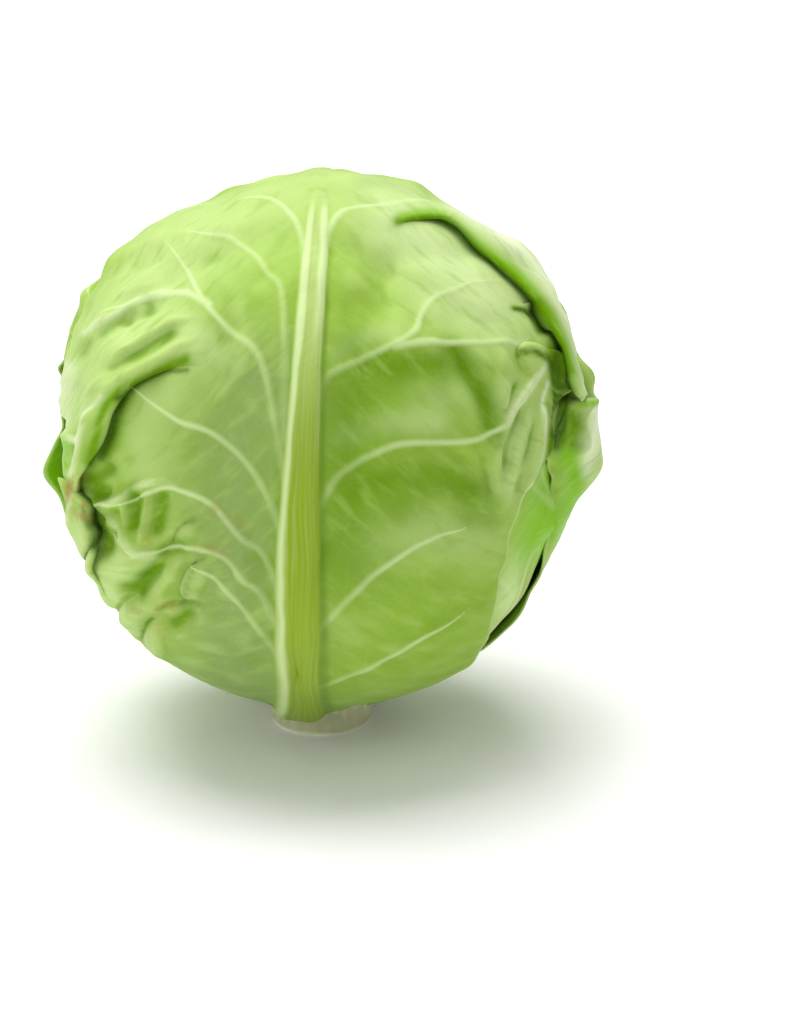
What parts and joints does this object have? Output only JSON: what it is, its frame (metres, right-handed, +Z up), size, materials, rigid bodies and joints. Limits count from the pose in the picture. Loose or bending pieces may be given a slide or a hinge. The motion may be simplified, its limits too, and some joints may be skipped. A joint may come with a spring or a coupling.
{
  "type": "cabbage head",
  "caption": "Whole head of green cabbage with lapped wrapper leaves, raised pale ribs and a cut stump that it stands on.",
  "frame": {"origin": "middle of the stump's cut face, on the surface that the head stands on", "axes": "+Z up from the stump to the crown; -Y towards the viewer, through the broad front leaf; +X to the viewer's right"},
  "size_m": [0.1801, 0.1818, 0.1862],
  "materials": {
    "leaf_outer": null,
    "leaf_inner": null,
    "heart": null,
    "stump": null
  },
  "bodies": {
    "root": {"stump": "stump", "heart": "heart", "leaf_inner_back": "leaf_inner", "leaf_inner_left": "leaf_inner", "leaf_inner_right": "leaf_inner", "leaf_back_left": "leaf_outer", "leaf_back_right": "leaf_outer", "leaf_front": "leaf_outer"}
  },
  "joints": []
}
